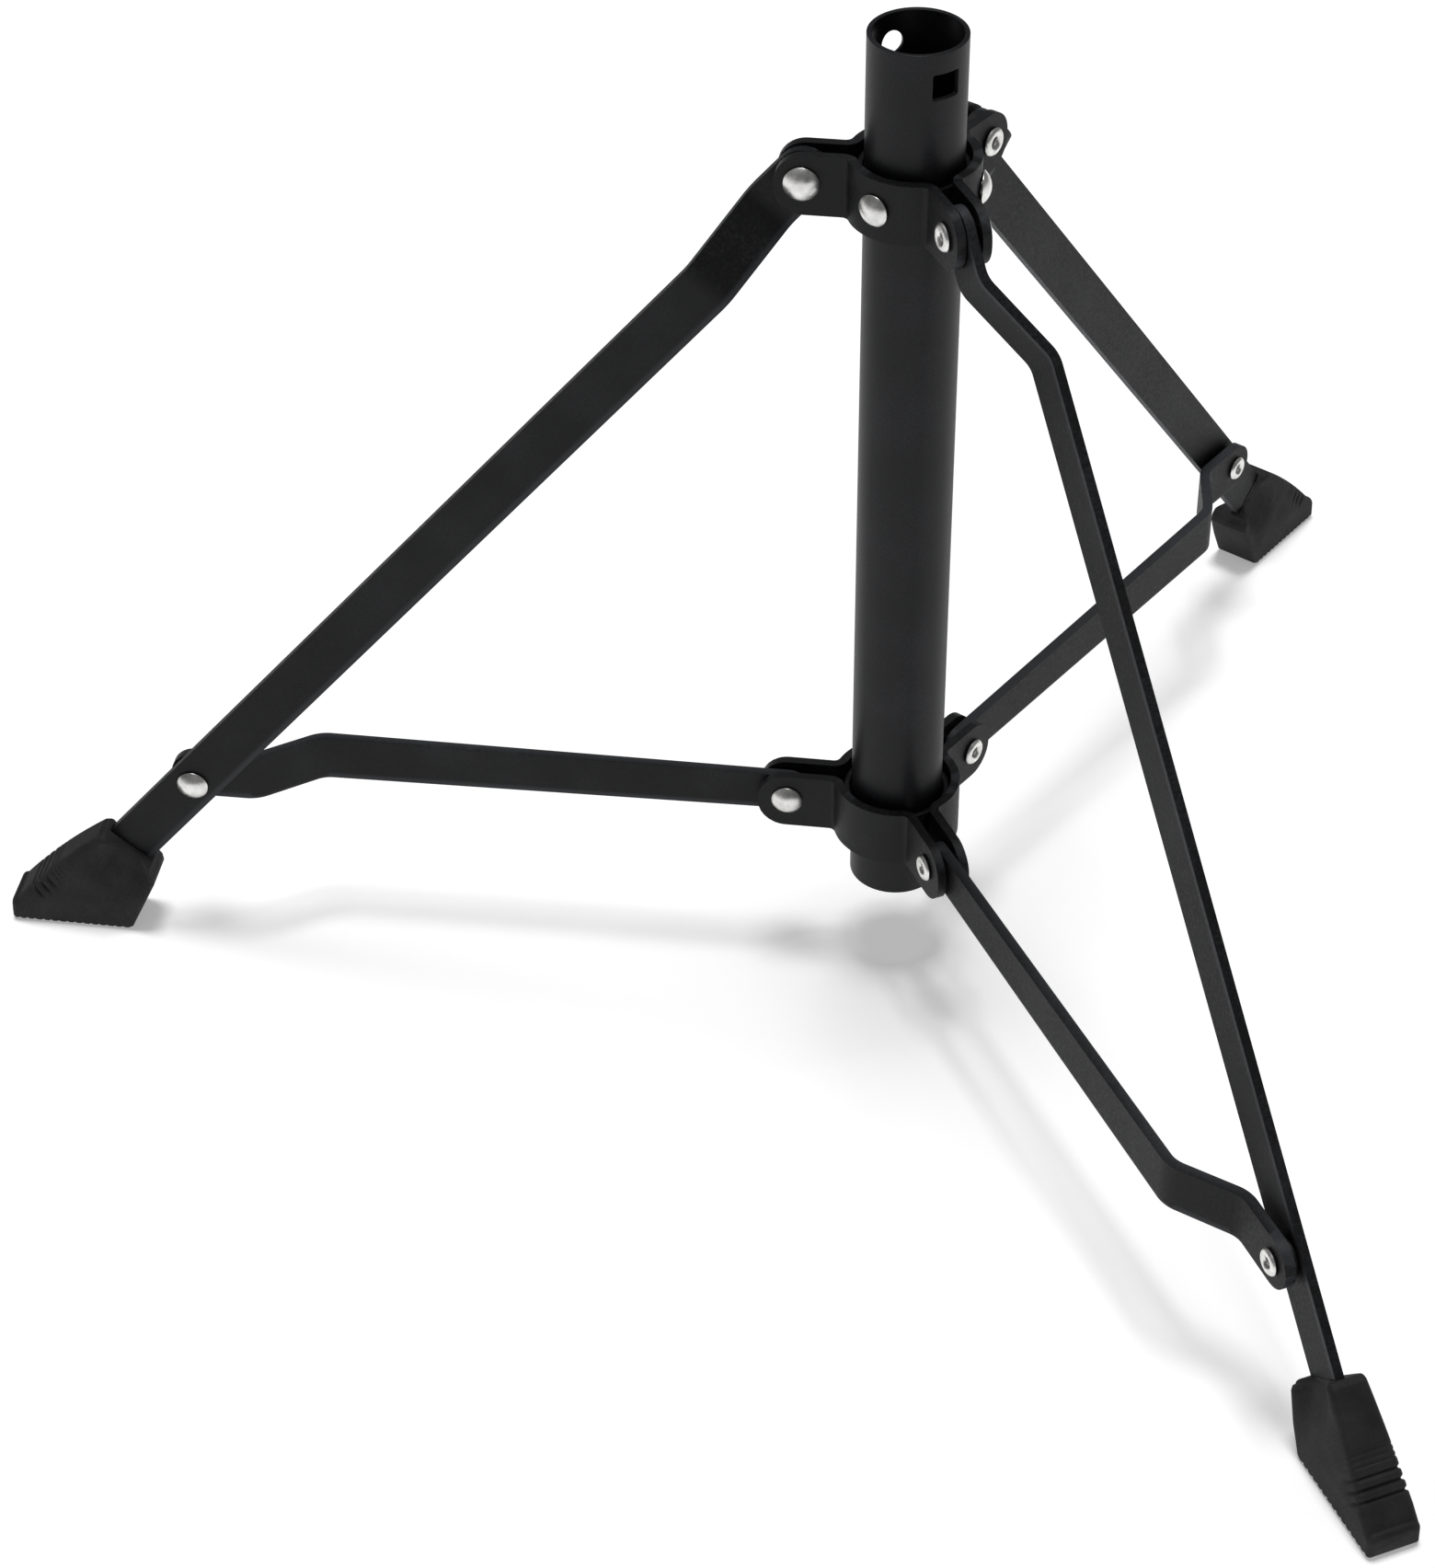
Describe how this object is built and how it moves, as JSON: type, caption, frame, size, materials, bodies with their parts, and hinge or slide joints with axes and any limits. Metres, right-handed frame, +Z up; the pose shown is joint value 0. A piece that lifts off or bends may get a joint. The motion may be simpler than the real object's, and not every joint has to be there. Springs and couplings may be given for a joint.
{
  "type": "folding tripod base",
  "caption": "Folding tripod base for a wind instrument stand: open-topped tube, riveted collar and sliding hub, flat strap legs and braces that fold in, rubber feet.",
  "frame": {"origin": "middle of the bounding box on the floor, under the open stand", "axes": "+Z up along the tube; the two lock holes of the tube lie on a line along Y; +X is the longest side of the bounding box"},
  "size_m": [0.4518, 0.4132, 0.292],
  "materials": {
    "tube_coat": "smooth satin black powder coat",
    "bracket_coat": "satin black powder coat on stamped steel",
    "strap_coat": "fine textured black powder coat on flat steel strap",
    "rivet_plating": "bright nickel plating",
    "foot_rubber": "matte black moulded rubber",
    "nylon": "black nylon"
  },
  "bodies": {
    "base": {"main_tube": "tube_coat", "collar_sleeve": "bracket_coat", "collar_plate_1": "bracket_coat", "collar_rivet_1": "rivet_plating", "leg_rivet_1": "rivet_plating", "leg_washer_1": "nylon", "collar_plate_2": "bracket_coat", "collar_rivet_2": "rivet_plating", "leg_rivet_2": "rivet_plating", "leg_washer_2": "nylon", "collar_plate_3": "bracket_coat", "collar_rivet_3": "rivet_plating", "leg_rivet_3": "rivet_plating", "leg_washer_3": "nylon"},
    "hub": {"hub_bushing": "nylon", "hub_plate_1": "bracket_coat", "hub_rivet_1": "rivet_plating", "hub_plate_2": "bracket_coat", "hub_rivet_2": "rivet_plating", "hub_plate_3": "bracket_coat", "hub_rivet_3": "rivet_plating"},
    "leg_body_1": {"leg_1": "strap_coat", "foot_1": "foot_rubber", "knee_head_1": "rivet_plating", "knee_washer_1": "nylon"},
    "brace_body_1": {"brace_1": "strap_coat", "knee_tail_1": "rivet_plating"},
    "leg_body_2": {"leg_2": "strap_coat", "foot_2": "foot_rubber", "knee_head_2": "rivet_plating", "knee_washer_2": "nylon"},
    "brace_body_2": {"brace_2": "strap_coat", "knee_tail_2": "rivet_plating"},
    "leg_body_3": {"leg_3": "strap_coat", "foot_3": "foot_rubber", "knee_head_3": "rivet_plating", "knee_washer_3": "nylon"},
    "brace_body_3": {"brace_3": "strap_coat", "knee_tail_3": "rivet_plating"}
  },
  "joints": [
    {"name": "hub_slide", "type": "slide", "parent": "base", "child": "hub", "axis": [0, 0, 1], "range_m": [0, 0.1048]},
    {"name": "leg_hinge_1", "type": "hinge", "parent": "base", "child": "leg_body_1", "pos_m": [-0.03251, 0.06916, 0.2506], "axis": [-0.6428, -0.766, 0], "range_deg": [0, 37.6]},
    {"name": "leg_hinge_2", "type": "hinge", "parent": "base", "child": "leg_body_2", "pos_m": [-0.01604, 0.02391, 0.2506], "axis": [0.9848, -0.1736, 0], "range_deg": [0, 37.6]},
    {"name": "leg_hinge_3", "type": "hinge", "parent": "base", "child": "leg_body_3", "pos_m": [0.01491, 0.0608, 0.2506], "axis": [-0.342, 0.9397, 0], "range_deg": [0, 37.6]},
    {"name": "brace_hinge_1", "type": "hinge", "parent": "hub", "child": "brace_body_1", "pos_m": [-0.03465, 0.07096, 0.0508], "axis": [-0.6428, -0.766, 0], "range_deg": [0, 86.1]},
    {"name": "brace_hinge_2", "type": "hinge", "parent": "hub", "child": "brace_body_2", "pos_m": [-0.01653, 0.02115, 0.0508], "axis": [0.9848, -0.1736, 0], "range_deg": [0, 86.1]},
    {"name": "brace_hinge_3", "type": "hinge", "parent": "hub", "child": "brace_body_3", "pos_m": [0.01754, 0.06175, 0.0508], "axis": [-0.342, 0.9397, 0], "range_deg": [0, 86.1]}
  ],
  "couplings": [
    {"joint": "leg_hinge_1", "follows": "hub_slide", "rad_per_m": 6.26},
    {"joint": "leg_hinge_2", "follows": "hub_slide", "rad_per_m": 6.26},
    {"joint": "leg_hinge_3", "follows": "hub_slide", "rad_per_m": 6.26},
    {"joint": "brace_hinge_1", "follows": "hub_slide", "rad_per_m": 14.338},
    {"joint": "brace_hinge_2", "follows": "hub_slide", "rad_per_m": 14.338},
    {"joint": "brace_hinge_3", "follows": "hub_slide", "rad_per_m": 14.338}
  ]
}
